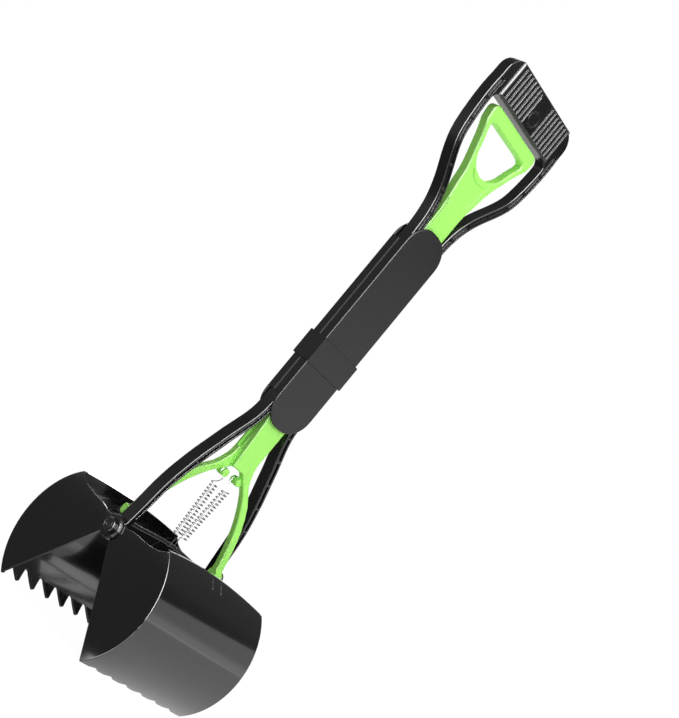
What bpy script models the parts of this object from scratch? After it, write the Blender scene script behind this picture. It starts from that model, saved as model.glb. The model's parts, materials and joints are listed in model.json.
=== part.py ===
"""Long-handled pooper scooper: a D handle on a two-part shaft, a green trigger and pull fork
that slide inside it, and two hinged jaws, one with rake teeth and one with a scalloped lip.

The tool stands on its open jaws at z = 0 and +Z runs up the shaft. X is the jaws' hinge axis
and the scalloped front jaw is on the -Y side. Metres throughout.
"""

import math

import bmesh
import bpy
from mathutils import Matrix, Vector, geometry

TOTAL_HEIGHT = 0.711

# Shared clearances and mesh fineness
GAP = 0.0003
OVERRUN = 0.002
WELD = 0.000001
WELD_REACH = 0.0004
ROUND_SIDES = 20
ARC_STEPS = 20
SHELL_STEPS = 24
EAR_STEPS = 18
CORNER_STEPS = 8
SMALL_STEPS = 6

# Jaws, as they stand open. The shell's arc is centred on SHELL_REACH and SHELL_DROP from the hinge
JAW_WIDTH = 0.160
JAW_WALL = 0.0026
PLATE_GAP = 0.0004
JAW_OPENING = math.radians(36)
MOUTH_GAP = 0.0005
SHELL_RADIUS = 0.0806
SHELL_REACH = 0.0277
SHELL_DROP = 0.043
SHELL_TOP = math.radians(51)
SHELL_TOP_SPARE = math.radians(11)
SHELL_ARCH = 0.005
ARCH_FROM_SHARE = 0.67
EAR_RADIUS = 0.0132
EAR_END = math.radians(60)
EAR_BOSS_SHARE = 0.91
EAR_BOSS_HEIGHT = 0.0008
# Out along the end plate's top edge, and up it, from the hinge to the shell's corner
PLATE_TOP_SHARES = (
    (0.08, 0.57),
    (0.185, 0.41),
    (0.28, 0.475),
    (0.40, 0.54),
    (0.545, 0.54),
    (0.75, 0.62),
    (0.88, 0.76),
    (0.95, 0.925),
)
TEETH = 6
TOOTH_LENGTH = 0.0165
TOOTH_TIP_RADIUS = 0.0022
TOOTH_ROOT_RADIUS = 0.0034
LOBES = 7
LOBE_DEPTH = 0.0036
LIP_WEB = 0.0012

# Shaft: two pairs of covers that meet inside the locking collar. The first three are heights as
# shares of the height over the hinge
COVER_TOP_SHARE = 0.6971
SPLIT_SHARE = 0.4215
COVER_BOTTOM_SHARE = 0.2825
SHAFT_WIDTH = 0.0604
SHAFT_DEPTH = 0.0219
COVER_FACE = 0.0022
COVER_SIDE = 0.003
COVER_END_RADIUS = 0.026
COVER_EDGE = 0.0008
RAIL_WIDTH = 0.0094
RAIL_WEB = 0.0018
RAIL_WEB_FROM_SHARE = 0.30
RAIL_WEB_TO_SHARE = 0.75
COLLAR_WALL = 0.0013
COLLAR_HEIGHT = 0.0292
COLLAR_EDGE = 0.0006

# Handle
HANDLE_WIDTH = 0.145
ARM_WIDTH = 0.0098
ARM_DEPTH = 0.0142
ARM_EDGE = 0.0007
HANDLE_CORNER = 0.019
HANDLE_FILLET = 0.008
GRIP_HEIGHT = 0.0425
GRIP_DEPTH = 0.0192
GRIP_WIDTH_SHARE = 0.80
FIN_SPACING = 0.0065
FIN_THICKNESS = 0.0018
FIN_DEPTH = 0.0016
FIN_MARGIN = 0.0024
FINS = 8
EMBLEM_RADIUS = 0.0072
EMBLEM_GROOVE = 0.0014
EMBLEM_HEIGHT_SHARE = 0.34
# Out from the rail to the D's widest point, and up from the covers to the top
UPPER_ARM_SHARES = (
    (0.0, -0.08),
    (0.022, 0.0),
    (0.057, 0.057),
    (0.125, 0.123),
    (0.257, 0.199),
    (0.397, 0.259),
    (0.61, 0.339),
    (0.79, 0.418),
    (0.90, 0.50),
    (0.9715, 0.625),
    (1.0, 0.756),
    (0.978, 0.85),
)

# Lower arms, whose feet carry the hinge
LOWER_ARM_WIDTH = 0.0084
FOOT_WIDTH = 0.0066
EYE_THICKER = 0.001
FOOT_TAPER = 3
FOOT_TAPER_START = 0.6
LOWER_ARM_DEPTH = 0.0158
FOOT_RADIUS = 0.0102
FOOT_GAP = 0.0005
# Out from the rail to the foot, and up from the hinge to the covers
LOWER_ARM_SHARES = (
    (1.0, -0.01),
    (0.984, 0.0585),
    (0.930, 0.158),
    (0.893, 0.240),
    (0.856, 0.334),
    (0.7835, 0.439),
    (0.691, 0.533),
    (0.5856, 0.626),
    (0.480, 0.7026),
    (0.340, 0.808),
    (0.196, 0.9016),
    (0.105, 0.966),
    (0.041, 1.036),
    (0.0, 1.16),
)
RIM = 0.0021
CHANNEL_DEPTH = 0.0034
RIB_THICKNESS = 0.0018
RIB_SPACING = 0.0275

# Hinge pins
PIN_RADIUS = 0.004
PIN_CLEARANCE = 0.0001
PIN_HEAD_RADIUS = 0.0076
PIN_HEAD_HEIGHT = 0.0032
PIN_RECESS_RADIUS = 0.0042
PIN_RECESS_DEPTH = 0.0012
CLIP_RADIUS = 0.0066
CLIP_THICKNESS = 0.0014

# Trigger, pull fork and the pin between them, with the trigger squeezed
STROKE = 0.015
STEM_WIDTH = 0.033
STEM_DEPTH = 0.0138
STEM_EDGE = 0.002
TONGUE_DEPTH = 0.010
TONGUE_WIDTH = 0.029
LAP = 0.016
LINK_PIN_RADIUS = 0.002
SHOULDER_SHARE = 0.3012
LOOP_WIDTH = 0.097
LOOP_DEPTH = 0.012
LOOP_EDGE = 0.0016
FINGER_BAR_HEIGHT = 0.0155
TRIGGER_TO_GRIP = 0.004
TRIGGER_BODY_SHARE = 0.70
# Out from the stem to the loop's widest point, and up from the shoulder to the finger bar
LOOP_OUTER_SHARES = (
    (0.056, 0.0),
    (0.163, 0.196),
    (0.225, 0.34),
    (0.344, 0.489),
    (0.494, 0.62),
    (0.71, 0.813),
    (0.94, 0.962),
)
# Half widths of the loop's opening, and heights as before
LOOP_INNER_SHARES = (
    (0.0, 0.457),
    (0.26, 0.488),
    (0.435, 0.56),
    (0.537, 0.638),
    (0.643, 0.793),
    (0.76, 0.94),
    (0.66, 0.995),
    (0.30, 1.0),
)
# The shallow pocket on the front face, in the same way
POCKET_SHARES = (
    (0.0, 0.375),
    (0.22, 0.40),
    (0.36, 0.47),
    (0.33, 0.31),
    (0.26, 0.09),
    (0.0, 0.05),
)
POCKET_DEPTH = 0.0012

# Fork legs, for the leg on the +X side, which leaves the front half of the stem
CROTCH_SHARE = 0.6762
FORK_HALF_OVERLAP = 0.0008
FORK_TAPER_SHARE = 0.67
FORK_ABOVE_COVERS = 0.0147
SIDE_CHANNEL_WIDTH = 0.0072
SIDE_CHANNEL_DEPTH = 0.0026
SIDE_CHANNEL_ABOVE_CROTCH = 0.019
LEG_LEAN_BELOW_CROTCH = 0.005
# Out to the foot's inner and outer faces, and up from the hinge to the crotch
LEG_INNER_SHARES = (
    (0.13, 0.99),
    (0.47, 0.845),
    (0.738, 0.65),
    (0.893, 0.461),
    (0.981, 0.26),
    (1.0, 0.14),
)
LEG_OUTER_SHARES = (
    (1.0, 0.14),
    (0.995, 0.20),
    (0.952, 0.373),
    (0.848, 0.587),
    (0.65, 0.795),
    (0.416, 0.934),
    (0.28, 1.07),
)
LEG_FOOT_WIDTH = 0.0096
LEG_CLEARANCE = 0.0008
LEG_EYE_RADIUS = 0.0062
PEG_RADIUS = 0.003
PEG_REACH = 0.0155
PEG_HEIGHT = 0.0189
PEG_HEAD_DEPTH = 0.0086
PEG_HEAD_HEIGHT = 0.0114
PEG_HEAD_THICKNESS = 0.002
PEG_HEAD_EDGE = 0.0005
KNOB_RADIUS = 0.0044
KNOB_NECK_RADIUS = 0.0031
KNOB_X = 0.0122
KNOB_SHARE = 0.9134
KNOB_BACK = 0.005
KNOB_NECK_LENGTH = 0.0034
KNOB_HEAD_THICKNESS = 0.0014

# Slotted lugs of the jaws
LUG_WALL = 0.0022
LUG_INSET = 0.0149
LUG_RIM = 0.0030
SLOT_CLEARANCE = 0.00035
SLOT_STEPS = 6
SHELF_NEAR = 0.017
SHELF_FAR = 0.0275
SHELF_LOW = 0.0035
SHELF_HIGH = 0.009

# Springs and the bar under them
BAR_RADIUS = 0.0018
BAR_HEIGHT = 0.0125
BAR_ARCH = 0.0044
BAR_SOCKET_DEPTH = 0.003
WIRE_RADIUS = 0.0005
SPRING_LOW_X = 0.0054
SPRING_HIGH_X = 0.0098
COIL_RADIUS = 0.004
COIL_ABOVE_BAR = 0.0116
COIL_BELOW_KNOB = 0.014
COIL_TURNS = 16.5
COIL_POINTS = 8
HOOK_CLEARANCE = 0.0003
HOOK_END = math.radians(-22.5)

# Cover screws
SCREW_RADIUS = 0.0014
SCREW_HEAD_RADIUS = 0.0026
SCREW_HEAD_HEIGHT = 0.0014
SCREW_TIP_DEPTH = 0.001
UPPER_SCREW_SHARE = 0.36
LOWER_SCREW_SHARE = 0.52

BLACK = (0.008, 0.008, 0.009, 1)
SATIN = (0.055, 0.055, 0.056, 1)
GREEN = (0.16, 0.62, 0.04, 1)
STEEL = (0.62, 0.62, 0.63, 1)

# Worked out from the sizes above
MOUTH_FROM_CENTRE = (
    SHELL_REACH * math.cos(JAW_OPENING) - SHELL_DROP * math.sin(JAW_OPENING)
)
LIP_ANGLE = JAW_OPENING - math.acos((MOUTH_GAP / 2 - MOUTH_FROM_CENTRE) / SHELL_RADIUS)
HINGE = SHELL_DROP - SHELL_RADIUS * math.sin(LIP_ANGLE)
SHELL_CORNER_Y = SHELL_REACH + SHELL_RADIUS * math.cos(SHELL_TOP)
SHELL_CORNER_Z = SHELL_RADIUS * math.sin(SHELL_TOP) - SHELL_DROP
HALF_JAW = JAW_WIDTH / 2
PLATE_SHIFT = (JAW_WALL + PLATE_GAP) / 2
OUTER_PLATE = HALF_JAW + PLATE_SHIFT
INNER_PLATE = HALF_JAW - PLATE_SHIFT
HEIGHT_OVER_HINGE = TOTAL_HEIGHT - HINGE
COVER_TOP = HINGE + HEIGHT_OVER_HINGE * COVER_TOP_SHARE
SPLIT = HINGE + HEIGHT_OVER_HINGE * SPLIT_SHARE
COVER_BOTTOM = HINGE + HEIGHT_OVER_HINGE * COVER_BOTTOM_SHARE
RAIL_OUTER = SHAFT_WIDTH / 2 - COVER_SIDE - GAP
RAIL_INNER = RAIL_OUTER - RAIL_WIDTH
FOOT_OUTER = INNER_PLATE - JAW_WALL - FOOT_GAP
GRIP_BOTTOM = TOTAL_HEIGHT - GRIP_HEIGHT
BAR_BOTTOM = GRIP_BOTTOM - TRIGGER_TO_GRIP - FINGER_BAR_HEIGHT
SHOULDER = COVER_TOP + (BAR_BOTTOM - COVER_TOP) * SHOULDER_SHARE
CROTCH = HINGE + (COVER_BOTTOM - HINGE) * CROTCH_SHARE
LEAN_FROM = CROTCH - LEG_LEAN_BELOW_CROTCH
FORK_BODY_TOP = COVER_BOTTOM + FORK_ABOVE_COVERS
KNOB_HEIGHT = HINGE + (CROTCH - HINGE) * KNOB_SHARE
COIL_LOW = HINGE + BAR_HEIGHT + BAR_ARCH + COIL_ABOVE_BAR
COIL_HIGH = KNOB_HEIGHT - COIL_BELOW_KNOB
LUG_INNER_X = INNER_PLATE - LUG_INSET
LUG_OUTER_X = LUG_INNER_X + LUG_WALL
LEG_FOOT_OUTER = LUG_INNER_X - LEG_CLEARANCE
LEG_FOOT_INNER = LEG_FOOT_OUTER - LEG_FOOT_WIDTH
LIP_PITCH = 2 * OUTER_PLATE / LOBES
BAR_END = FOOT_OUTER - FOOT_WIDTH - EYE_THICKER + BAR_SOCKET_DEPTH - GAP
SCREW_X = (RAIL_INNER + RAIL_OUTER) / 2
UPPER_SCREW_HEIGHT = SPLIT + (COVER_TOP - SPLIT) * UPPER_SCREW_SHARE
LOWER_SCREW_HEIGHT = SPLIT - (SPLIT - COVER_BOTTOM) * LOWER_SCREW_SHARE

PLANES = {
    "X": Matrix(((0, 0, 1, 0), (1, 0, 0, 0), (0, 1, 0, 0), (0, 0, 0, 1))),
    "Y": Matrix(((1, 0, 0, 0), (0, 0, -1, 0), (0, 1, 0, 0), (0, 0, 0, 1))),
}
AXIS_TURNS = {
    "X": Matrix.Rotation(math.pi / 2, 4, "Y"),
    "Y": Matrix.Rotation(-math.pi / 2, 4, "X"),
}
TURN_ROUND = Matrix.Rotation(math.pi, 4, "Z")


def clear_scene():
    for obj in list(bpy.data.objects):
        bpy.data.objects.remove(obj)


def new_collection(name):
    collection = bpy.data.collections.new(name)
    bpy.context.scene.collection.children.link(collection)
    return collection


def new_material(name, colour, roughness, metallic=0.0):
    material = bpy.data.materials.new(name)
    material.use_nodes = True
    shader = material.node_tree.nodes["Principled BSDF"]
    shader.inputs["Base Color"].default_value = colour
    shader.inputs["Roughness"].default_value = roughness
    shader.inputs["Metallic"].default_value = metallic
    return material


def helper(obj):
    """Makes an object a cutter or a shape to be joined on: out of the render, drawn as wire."""
    for collection in list(obj.users_collection):
        collection.objects.unlink(obj)
    cutters.objects.link(obj)
    obj.hide_render = True
    obj.display_type = "WIRE"
    return obj


def finish(obj, name, material, origin=(0, 0, 0)):
    """Makes an object one of the parts, with its origin at the given point."""
    for collection in list(obj.users_collection):
        collection.objects.unlink(obj)
    parts.objects.link(obj)
    obj.name = name
    obj.hide_render = False
    obj.display_type = "TEXTURED"
    obj.data.materials.clear()
    obj.data.materials.append(material)
    obj.data.transform(Matrix.Translation(-Vector(origin)))
    obj.location = origin
    obj.data.shade_smooth()
    obj.data.set_sharp_from_angle(angle=math.radians(30))
    return obj


def mesh_object(name, mesh):
    """A helper from a mesh whose points are in world space."""
    shell = bmesh.new()
    shell.from_mesh(mesh)
    bmesh.ops.remove_doubles(shell, verts=shell.verts, dist=WELD)
    bmesh.ops.recalc_face_normals(shell, faces=shell.faces)
    shell.to_mesh(mesh)
    shell.free()
    obj = bpy.data.objects.new(name, mesh)
    cutters.objects.link(obj)
    return helper(obj)


def curve_to_mesh(name, curve, matrix):
    drawn = bpy.data.objects.new(name + " outline", curve)
    cutters.objects.link(drawn)
    drawn.matrix_world = matrix
    bpy.context.view_layer.update()
    graph = bpy.context.evaluated_depsgraph_get()
    mesh = bpy.data.meshes.new_from_object(drawn.evaluated_get(graph))
    mesh.transform(matrix)
    bpy.data.objects.remove(drawn)
    return mesh_object(name, mesh)


def plate(name, outlines, thickness, matrix, edge=0.0):
    """Outlines filled, extruded to both sides of their plane, and placed by a matrix."""
    curve = bpy.data.curves.new(name, "CURVE")
    curve.dimensions = "2D"
    curve.fill_mode = "BOTH"
    curve.extrude = thickness / 2 - edge
    curve.bevel_depth = edge
    curve.bevel_resolution = 0
    curve.offset = -edge
    for outline in outlines:
        spline = curve.splines.new("POLY")
        spline.points.add(len(outline) - 1)
        spline.use_cyclic_u = True
        for point, (across, up) in zip(spline.points, outline):
            point.co = (across, up, 0, 1)
    return curve_to_mesh(name, curve, matrix)


def slab(name, outlines, low, high, axis="Y", edge=0.0):
    """A plate from low to high along an axis. On Y its outlines are (x, z), and on X (y, z)."""
    middle = Vector([(low + high) / 2 if axis == other else 0 for other in "XYZ"])
    return plate(name, outlines, high - low, Matrix.Translation(middle) @ PLANES[axis], edge)


def tube(name, points, radius, resolution):
    curve = bpy.data.curves.new(name, "CURVE")
    curve.dimensions = "3D"
    curve.bevel_depth = radius
    curve.bevel_resolution = resolution
    curve.use_fill_caps = True
    spline = curve.splines.new("POLY")
    spline.points.add(len(points) - 1)
    for point, place in zip(spline.points, points):
        point.co = (*place, 1)
    return curve_to_mesh(name, curve, Matrix.Identity(4))


def box(name, low, high):
    low = Vector(low)
    high = Vector(high)
    bpy.ops.mesh.primitive_cube_add(size=1)
    obj = bpy.context.object
    obj.name = name
    obj.data.transform(Matrix.Translation((low + high) / 2) @ Matrix.Diagonal((*(high - low), 1)))
    return helper(obj)


def turned(name, profile, axis, centre):
    """A profile of (radius, place along the axis), from its high end down, turned round the axis.

    One that starts away from the axis is closed, and makes a ring.
    """
    mesh = bpy.data.meshes.new(name)
    points = [(radius, 0, along) for radius, along in profile]
    edges = [(i, i + 1) for i in range(len(points) - 1)]
    if profile[0][0] > 0:
        edges.append((len(points) - 1, 0))
    mesh.from_pydata(points, edges, [])
    obj = bpy.data.objects.new(name, mesh)
    cutters.objects.link(obj)
    screw = obj.modifiers.new("turn", "SCREW")
    screw.steps = screw.render_steps = ROUND_SIDES
    screw.use_merge_vertices = True
    screw.merge_threshold = 0.00001
    bpy.context.view_layer.update()
    graph = bpy.context.evaluated_depsgraph_get()
    solid = bpy.data.meshes.new_from_object(obj.evaluated_get(graph))
    bpy.data.objects.remove(obj)
    solid.transform(Matrix.Translation(centre) @ AXIS_TURNS[axis])
    return mesh_object(name, solid)


def cylinder(name, radius, low, high, axis, centre):
    return turned(name, [(0, high), (radius, high), (radius, low), (0, low)], axis, centre)


def half_turned(obj, name):
    """A second piece, with the first one's cuts and joins, half a turn round the shaft's axis."""
    bpy.context.view_layer.update()
    graph = bpy.context.evaluated_depsgraph_get()
    mesh = bpy.data.meshes.new_from_object(obj.evaluated_get(graph))
    mesh.transform(TURN_ROUND)
    return mesh_object(name, mesh)


def merged(name, tools):
    """One helper from several that don't touch."""
    shell = bmesh.new()
    for tool in tools:
        shell.from_mesh(tool.data)
        bpy.data.objects.remove(tool)
    mesh = bpy.data.meshes.new(name)
    shell.to_mesh(mesh)
    shell.free()
    return mesh_object(name, mesh)


def change(obj, tool, operation):
    boolean = obj.modifiers.new(operation.lower() + " " + tool.name, "BOOLEAN")
    boolean.operation = operation
    boolean.solver = "EXACT"
    boolean.object = tool


def cut(obj, *tools):
    for tool in tools:
        change(obj, tool, "DIFFERENCE")


def join(obj, *tools):
    for tool in tools:
        change(obj, tool, "UNION")


def arc(centre, radius, start, end, steps=ARC_STEPS):
    angles = [start + (end - start) * i / steps for i in range(steps + 1)]
    return [
        (centre[0] + radius * math.cos(angle), centre[1] + radius * math.sin(angle))
        for angle in angles
    ]


def smooth(points, steps=2):
    """A Catmull-Rom curve through the points."""
    points = [Vector(point) for point in points]
    ends = [2 * points[0] - points[1], *points, 2 * points[-1] - points[-2]]
    line = []
    for before, start, end, after in zip(ends, ends[1:], ends[2:], ends[3:]):
        for i in range(steps):
            t = i / steps
            bend = (end - before) * t + (2 * before - 5 * start + 4 * end - after) * t**2
            bend += (3 * start - before - 3 * end + after) * t**3
            line.append(tuple(start + bend / 2))
    line.append(tuple(points[-1]))
    return line


def beside(line, distances):
    """The line moved to its left, each of its points by its own distance."""
    moved = []
    for i, distance in enumerate(distances):
        along = Vector(line[min(i + 1, len(line) - 1)]) - Vector(line[max(i - 1, 0)])
        along.normalize()
        moved.append((line[i][0] - along.y * distance, line[i][1] + along.x * distance))
    return moved


def across(points):
    """The points on the other side of the shaft, in the same order."""
    return [(-x, z) for x, z in points]


def length_of(line):
    return sum(math.dist(one, two) for one, two in zip(line, line[1:]))


def stretch_of(line, start, end):
    """The part of the line between two distances along it."""
    walked = 0.0
    marks = {}
    for one, two in zip(line, line[1:]):
        length = math.dist(one, two)
        for mark in (start, end):
            if walked <= mark <= walked + length:
                marks[mark] = tuple(Vector(one).lerp(Vector(two), (mark - walked) / length))
        walked += length
        if start + WELD_REACH < walked < end - WELD_REACH:
            marks[walked] = tuple(two)
    return [marks[mark] for mark in sorted(marks)]


def channels(centre_line, widths, depth):
    """Cutters for the channels in both faces of both arms, between the rims and the ribs."""
    ribs = max(2, round(length_of(centre_line) / RIB_SPACING))
    step = length_of(centre_line) / ribs
    tools = []
    for i in range(ribs):
        start = i * step + RIB_THICKNESS / 2
        line = stretch_of(centre_line, start, start + step - RIB_THICKNESS)
        width = widths[0] + (widths[1] - widths[0]) * (i + 0.5) / ribs
        half = [width / 2 - RIM] * len(line)
        outline = beside(line, half) + beside(line, [-size for size in half])[::-1]
        both = [outline, across(outline)]
        tools.append(slab("front channel", both, -depth, CHANNEL_DEPTH - depth / 2))
        tools.append(slab("back channel", both, depth / 2 - CHANNEL_DEPTH, depth))
    return tools


def grip_grooves(half_width):
    tools = []
    first = EMBLEM_RADIUS + FIN_SPACING / 2
    for i in range(FINS):
        left = first + i * FIN_SPACING
        right = left + FIN_SPACING - FIN_THICKNESS
        if right > half_width - FIN_SPACING / 2:
            break
        for low, high in ((left, right), (-right, -left)):
            for front, back in ((-1, 2 * FIN_DEPTH / GRIP_DEPTH - 1), (1 - 2 * FIN_DEPTH / GRIP_DEPTH, 1)):
                near = front * GRIP_DEPTH / 2 - (OVERRUN if front == -1 else 0)
                far = back * GRIP_DEPTH / 2 + (OVERRUN if back == 1 else 0)
                bottom = GRIP_BOTTOM + FIN_MARGIN
                top = TOTAL_HEIGHT - FIN_MARGIN
                tools.append(box("groove", (low, near, bottom), (high, far, top)))
    return tools


def build_handle():
    out = HANDLE_WIDTH / 2 - RAIL_OUTER
    rise = TOTAL_HEIGHT - COVER_TOP
    edge = smooth([(RAIL_OUTER + out * share, COVER_TOP + rise * up) for share, up in UPPER_ARM_SHARES])
    corner_centre = (edge[-1][0] - HANDLE_CORNER, TOTAL_HEIGHT - HANDLE_CORNER)
    corner = arc(corner_centre, HANDLE_CORNER, 0, math.pi / 2, SMALL_STEPS)
    inner = beside(edge, [ARM_WIDTH] * len(edge))
    inner = [point for point in inner if point[1] < GRIP_BOTTOM - HANDLE_FILLET]
    top_inner = (inner[-1][0] - HANDLE_FILLET, GRIP_BOTTOM - HANDLE_FILLET)
    bottom = SPLIT + GAP / 2
    outside = [(RAIL_INNER, bottom), (RAIL_OUTER, bottom), *edge, *corner]
    inside = inner + arc(top_inner, HANDLE_FILLET, 0, math.pi / 2, SMALL_STEPS)
    outline = outside + across(outside)[::-1] + across(inside) + inside[::-1]
    frame = slab("handle", [outline], -ARM_DEPTH / 2, ARM_DEPTH / 2, edge=ARM_EDGE)
    half = HANDLE_WIDTH / 2 * GRIP_WIDTH_SHARE
    low = GRIP_BOTTOM + GAP
    high = TOTAL_HEIGHT - GAP
    block = [(-half, low), (half, low), (half, high), (-half, high)]
    grip = slab("grip", [block], -GRIP_DEPTH / 2, GRIP_DEPTH / 2, edge=FIN_DEPTH)
    centre = (0, 0, GRIP_BOTTOM + GRIP_HEIGHT * EMBLEM_HEIGHT_SHARE)
    face = -GRIP_DEPTH / 2
    ring_outer = EMBLEM_RADIUS + EMBLEM_GROOVE
    ring_floor = face + FIN_DEPTH
    ring_top = face - OVERRUN
    ring = [(ring_outer, ring_floor), (ring_outer, ring_top)]
    ring += [(EMBLEM_RADIUS, ring_top), (EMBLEM_RADIUS, ring_floor)]
    ring = turned("emblem ring", ring, "Y", centre)
    centre_line = beside(edge, [ARM_WIDTH / 2] * len(edge))
    hollows = channels(centre_line, (ARM_WIDTH, ARM_WIDTH), ARM_DEPTH) + grip_grooves(half)
    join(frame, grip)
    cut(frame, merged("handle hollows", [*hollows, ring, *screw_holes(UPPER_SCREW_HEIGHT, "rail")]))
    return finish(frame, "handle_frame", black)


def build_lower_frame():
    out = FOOT_OUTER - RAIL_OUTER
    edge = [
        (RAIL_OUTER + out * share, HINGE + (COVER_BOTTOM - HINGE) * up) for share, up in LOWER_ARM_SHARES
    ]
    edge = smooth(edge)
    count = len(edge) - 1
    grown = [min(1, max(0, FOOT_TAPER * i / count - FOOT_TAPER_START)) for i in range(count + 1)]
    widths = [FOOT_WIDTH + (LOWER_ARM_WIDTH - FOOT_WIDTH) * share for share in grown]
    top = SPLIT - GAP / 2
    outline = edge + [(RAIL_OUTER, top), (RAIL_INNER, top)] + beside(edge, widths)[::-1]
    half = LOWER_ARM_DEPTH / 2
    frame = slab("lower arms", [outline, across(outline)], -half, half, edge=ARM_EDGE)
    low = SPLIT - (SPLIT - COVER_BOTTOM) * RAIL_WEB_TO_SHARE
    high = SPLIT - (SPLIT - COVER_BOTTOM) * RAIL_WEB_FROM_SHARE
    reach = (RAIL_INNER + RAIL_OUTER) / 2
    web = box("rail web", (-reach, half - ARM_EDGE - RAIL_WEB, low), (reach, half - ARM_EDGE, high))
    join(frame, web)
    centre = (0, 0, HINGE)
    eye_inner = FOOT_OUTER - FOOT_WIDTH - EYE_THICKER
    eye = cylinder("eye", FOOT_RADIUS, eye_inner, FOOT_OUTER - GAP, "X", centre)
    socket_end = eye_inner + BAR_SOCKET_DEPTH
    bar_end = (0, 0, HINGE + BAR_HEIGHT)
    socket = cylinder("socket", BAR_RADIUS + GAP, eye_inner - FOOT_WIDTH, socket_end, "X", bar_end)
    centre_line = beside(edge, [width / 2 for width in widths])
    above_bar = BAR_HEIGHT + BAR_RADIUS + 2 * RIM + HINGE - centre_line[0][1]
    above_bar = stretch_of(centre_line, above_bar, length_of(centre_line))
    hollows = channels(above_bar, (FOOT_WIDTH, LOWER_ARM_WIDTH), LOWER_ARM_DEPTH)
    hollows += [socket, half_turned(socket, "socket twin"), pin_hole()]
    join(frame, eye, half_turned(eye, "eye twin"))
    cut(frame, merged("frame hollows", hollows + screw_holes(LOWER_SCREW_HEIGHT, "rail")))
    return finish(frame, "lower_frame", black)


def pin_hole():
    reach = OUTER_PLATE + OVERRUN
    return cylinder("pin hole", PIN_RADIUS + PIN_CLEARANCE, -reach, reach, "X", (0, 0, HINGE))


def screw_holes(height, kind):
    """Cutters at both screws: through a rail or the rear cover, or a blind hole in the front one."""
    tools = []
    radius = SCREW_RADIUS + PIN_CLEARANCE
    inside = SHAFT_DEPTH / 2 - COVER_FACE
    for side in (-1, 1):
        centre = (side * SCREW_X, 0, height)
        if kind == "rail":
            tools.append(cylinder(f"rail hole {side}", radius, -inside, inside, "Y", centre))
        elif kind == "blind":
            end = -inside - SCREW_TIP_DEPTH - GAP
            tools.append(cylinder(f"blind hole {side}", radius, end, 0, "Y", centre))
        else:
            seat = SHAFT_DEPTH / 2 - SCREW_HEAD_HEIGHT - GAP
            outer = SCREW_HEAD_RADIUS + GAP
            top = SHAFT_DEPTH / 2 + OVERRUN
            profile = [(0, top), (outer, top), (outer, seat), (radius, seat), (radius, 0), (0, 0)]
            tools.append(turned(f"screw seat {side}", profile, "Y", centre))
    return tools


def build_covers(half, low, high, round_top, screw_height):
    """The front and rear covers of one half of the shaft, rounded at the end away from the collar."""
    wide = SHAFT_WIDTH / 2
    corner = COVER_END_RADIUS
    if round_top:
        right = [(wide, low), *arc((wide - corner, high - corner), corner, 0, math.pi / 2, CORNER_STEPS)]
    else:
        right = [*arc((wide - corner, low + corner), corner, -math.pi / 2, 0, CORNER_STEPS), (wide, high)]
    outline = right + across(right)[::-1]
    reach = wide - COVER_SIDE
    mouth_low = high - corner - OVERRUN if round_top else low - OVERRUN
    mouth_high = high + OVERRUN if round_top else low + corner + OVERRUN
    deep = SHAFT_DEPTH / 2
    inside = deep - COVER_FACE
    for name, sign in (("front", -1), ("rear", 1)):
        near, far = sorted((sign * GAP / 2, sign * deep))
        cover = slab(f"{half} {name} cover", [outline], near, far, edge=COVER_EDGE)
        near, far = sorted((-sign * OVERRUN, sign * inside))
        hollow = box("cover hollow", (-reach, near, low - OVERRUN), (reach, far, high + OVERRUN))
        near, far = sorted((-sign * OVERRUN, sign * (inside - GAP)))
        mouth = box("cover mouth", (-wide - OVERRUN, near, mouth_low), (wide + OVERRUN, far, mouth_high))
        cut(cover, hollow, mouth, *screw_holes(screw_height, "blind" if sign < 0 else "seat"))
        finish(cover, f"{half}_{name}_cover", satin)


def build_screws():
    for half, height in (("upper", UPPER_SCREW_HEIGHT), ("lower", LOWER_SCREW_HEIGHT)):
        for name, side in (("left", -1), ("right", 1)):
            top = SHAFT_DEPTH / 2 - GAP
            seat = top - SCREW_HEAD_HEIGHT + GAP
            end = -(SHAFT_DEPTH / 2 - COVER_FACE) - SCREW_TIP_DEPTH
            slot_radius = SCREW_HEAD_RADIUS / 2
            slot_bottom = top - SCREW_HEAD_HEIGHT / 2
            profile = [
                (0, slot_bottom),
                (slot_radius, slot_bottom),
                (slot_radius, top),
                (SCREW_HEAD_RADIUS, top),
                (SCREW_HEAD_RADIUS, seat),
                (SCREW_RADIUS, seat),
                (SCREW_RADIUS, end),
                (0, end),
            ]
            centre = (side * SCREW_X, 0, height)
            finish(turned("screw", profile, "Y", centre), f"{half}_screw_{name}", steel)


def build_collar():
    half_width = SHAFT_WIDTH / 2 + GAP
    half_depth = SHAFT_DEPTH / 2 + GAP
    low = SPLIT - COLLAR_HEIGHT / 2
    high = SPLIT + COLLAR_HEIGHT / 2
    outer = Vector((half_width + COLLAR_WALL, half_depth + COLLAR_WALL, 0))
    collar = box("collar", (-outer.x, -outer.y, low), (outer.x, outer.y, high))
    bevel = collar.modifiers.new("edges", "BEVEL")
    bevel.width = COLLAR_EDGE
    bevel.segments = 2
    inner = Vector((half_width, half_depth, 0))
    cut(collar, box("collar hole", (-inner.x, -inner.y, low - OVERRUN), (inner.x, inner.y, high + OVERRUN)))
    finish(collar, "locking_collar", satin, (0, 0, SPLIT))


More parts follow.
